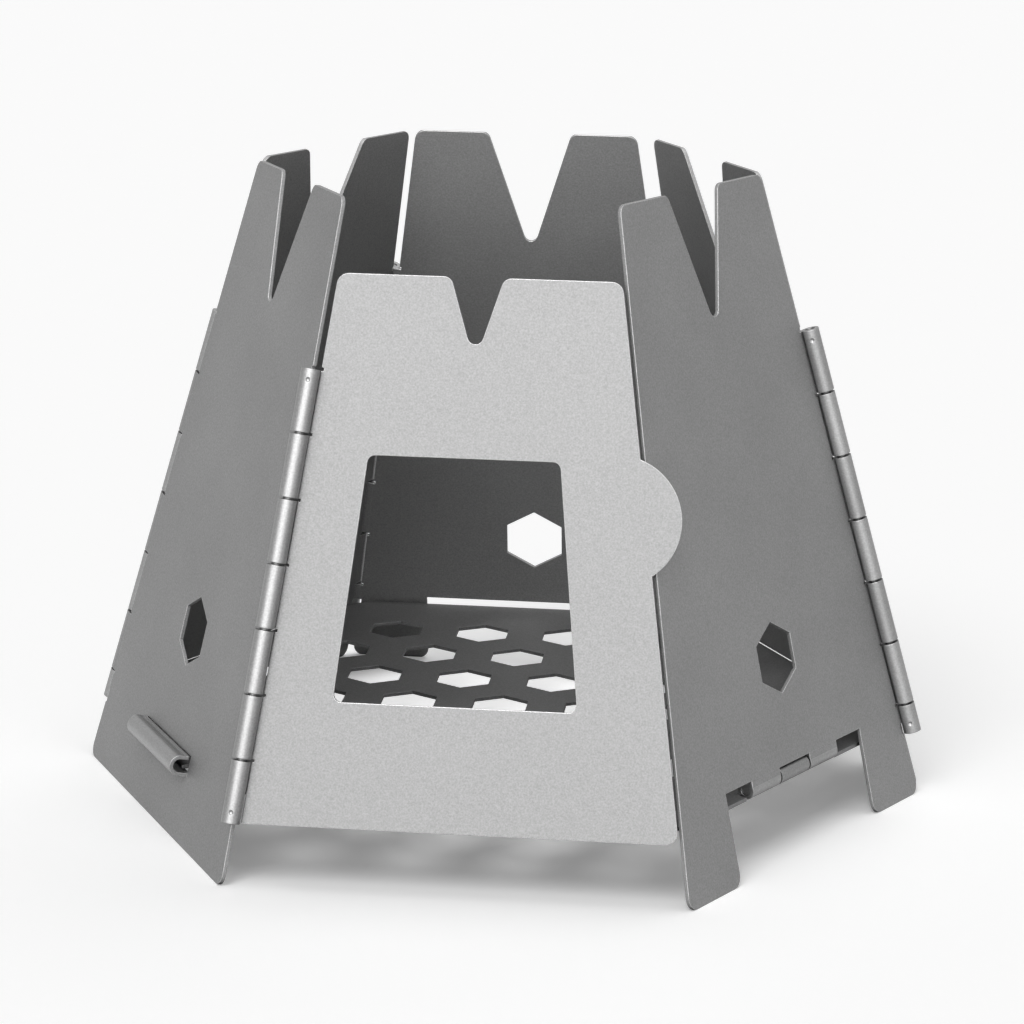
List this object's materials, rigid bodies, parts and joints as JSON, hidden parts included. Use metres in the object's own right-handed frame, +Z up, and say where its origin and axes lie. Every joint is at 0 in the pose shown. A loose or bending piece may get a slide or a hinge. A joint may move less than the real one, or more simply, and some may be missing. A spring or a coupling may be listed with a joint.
{
  "type": "folding wood stove",
  "caption": "Hexagonal camp stove of hinged sheet metal walls with a feeding door, a perforated hinged floor and a notched mouth that carries a pot.",
  "frame": {"origin": "centre of the hexagonal base, on the ground", "axes": "+Z up, the door faces -Y, the mouth is at the top"},
  "size_m": [0.1387, 0.1217, 0.102],
  "materials": {
    "sheet": "satin, bead blasted",
    "floor_sheet": "satin, bead blasted",
    "wire": "drawn wire"
  },
  "bodies": {
    "front_right_wall": {"front_right_panel": "sheet", "front_right_hinge_pin": "wire", "floor_hinge_pin": "wire"},
    "floor": {"floor_plate": "floor_sheet"},
    "rear_right_wall": {"rear_right_panel": "sheet"},
    "rear_wall": {"rear_panel": "sheet", "rear_left_hinge_pin": "wire", "rear_right_hinge_pin": "wire"},
    "rear_left_wall": {"rear_left_panel": "sheet", "front_left_hinge_pin": "wire"},
    "front_left_wall": {"front_left_panel": "sheet", "door_hinge_pin": "wire"},
    "door": {"door_panel": "sheet"}
  },
  "joints": [
    {"name": "front_right_hinge", "type": "hinge", "parent": "front_right_wall", "child": "rear_right_wall", "pos_m": [0.05883, 0, 0.04371], "axis": [0.2773, 0, -0.9608], "range_deg": [0, 58.03]},
    {"name": "rear_right_hinge", "type": "hinge", "parent": "rear_right_wall", "child": "rear_wall", "pos_m": [0.02813, 0.04872, 0.04315], "axis": [0.1387, 0.2402, -0.9608], "range_deg": [0, 58.03]},
    {"name": "rear_left_hinge", "type": "hinge", "parent": "rear_wall", "child": "rear_left_wall", "pos_m": [-0.02942, 0.05095, 0.04371], "axis": [-0.1387, 0.2402, -0.9608], "range_deg": [0, 58.03]},
    {"name": "front_left_hinge", "type": "hinge", "parent": "rear_left_wall", "child": "front_left_wall", "pos_m": [-0.05625, 0, 0.04315], "axis": [-0.2773, 0, -0.9608], "range_deg": [0, 87.05]},
    {"name": "door_hinge", "type": "hinge", "parent": "front_left_wall", "child": "door", "pos_m": [-0.02942, -0.05095, 0.04371], "axis": [-0.1387, -0.2402, -0.9608], "range_deg": [0, 230]},
    {"name": "floor_hinge", "type": "hinge", "parent": "front_right_wall", "child": "floor", "pos_m": [0.04888, -0.02822, 0.01228], "axis": [0.5, 0.866, 0], "range_deg": [0, 75.67]}
  ],
  "couplings": [
    {"joint": "rear_right_hinge", "follows": "front_right_hinge", "ratio": 1},
    {"joint": "rear_left_hinge", "follows": "front_right_hinge", "ratio": 1},
    {"joint": "front_left_hinge", "follows": "front_right_hinge", "ratio": 1.5},
    {"joint": "floor_hinge", "follows": "front_right_hinge", "ratio": 1.3038}
  ]
}
